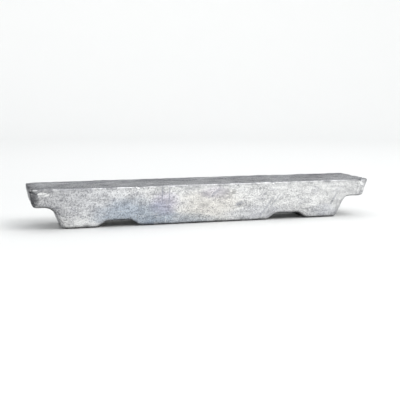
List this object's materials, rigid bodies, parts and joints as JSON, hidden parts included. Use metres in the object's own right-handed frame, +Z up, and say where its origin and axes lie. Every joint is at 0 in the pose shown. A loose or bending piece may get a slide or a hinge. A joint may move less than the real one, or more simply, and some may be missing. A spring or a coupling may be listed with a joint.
{
  "type": "tin ingot",
  "caption": "Cast tin ingot: a long bar with drafted sides, overhanging end ears for lifting and strap grooves across its underside; raw stock for remelting.",
  "frame": {"origin": "middle of the resting face, on the floor", "axes": "+X along the ingot, +Y across it, +Z up from the resting face to the open face"},
  "size_m": [0.6, 0.11, 0.07],
  "materials": {
    "tin": "satin"
  },
  "bodies": {
    "root": {"ingot": "tin"}
  },
  "joints": []
}
